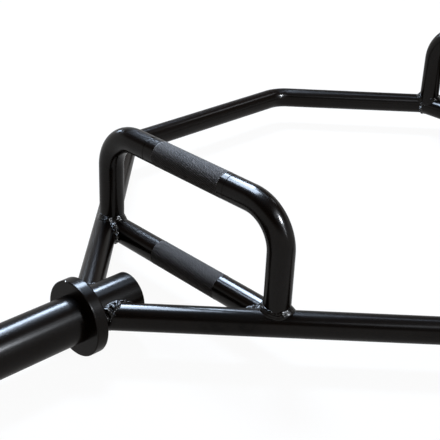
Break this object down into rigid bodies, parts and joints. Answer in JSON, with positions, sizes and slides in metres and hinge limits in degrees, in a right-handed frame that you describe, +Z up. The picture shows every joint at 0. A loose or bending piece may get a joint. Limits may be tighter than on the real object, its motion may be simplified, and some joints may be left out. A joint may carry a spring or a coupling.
{
  "type": "hexagonal trap bar",
  "caption": "Welded hexagonal lifting frame of bent round rod with loading sleeves, plate collars, low knurled grips and raised U-shaped knurled grips.",
  "frame": {"origin": "under the middle of the bar, level with the lowest points of the two collars that it rests on", "axes": "+X along the sleeves to the right end, +Y across the frame to the rear rail, +Z up towards the raised grips"},
  "size_m": [1.422, 0.6468, 0.1765],
  "materials": {
    "frame_paint": "gloss black paint",
    "handle_paint": "gloss black paint, with a grey knurled band at each grip",
    "sleeve_paint": "gloss black paint",
    "collar_paint": "gloss black paint",
    "plug_black": "satin black paint",
    "weld_paint": "gloss black paint over rippled weld"
  },
  "bodies": {
    "root": {"collar_left": "collar_paint", "collar_right": "collar_paint", "frame_rail_front": "frame_paint", "frame_rail_rear": "frame_paint", "handle_high_left": "handle_paint", "handle_high_right": "handle_paint", "handle_low_left": "handle_paint", "handle_low_right": "handle_paint", "sleeve_end_plug_left": "plug_black", "sleeve_end_plug_right": "plug_black", "sleeve_inner_plate_left": "plug_black", "sleeve_inner_plate_right": "plug_black", "sleeve_pipe_left": "sleeve_paint", "sleeve_pipe_right": "sleeve_paint", "weld_grip_to_rail_front_left": "weld_paint", "weld_grip_to_rail_front_right": "weld_paint", "weld_grip_to_rail_rear_left": "weld_paint", "weld_grip_to_rail_rear_right": "weld_paint", "weld_leg_to_rail_front_left": "weld_paint", "weld_leg_to_rail_front_right": "weld_paint", "weld_leg_to_rail_rear_left": "weld_paint", "weld_leg_to_rail_rear_right": "weld_paint", "weld_rail_to_pipe_front_left": "weld_paint", "weld_rail_to_pipe_front_right": "weld_paint", "weld_rail_to_pipe_rear_left": "weld_paint", "weld_rail_to_pipe_rear_right": "weld_paint"}
  },
  "joints": []
}
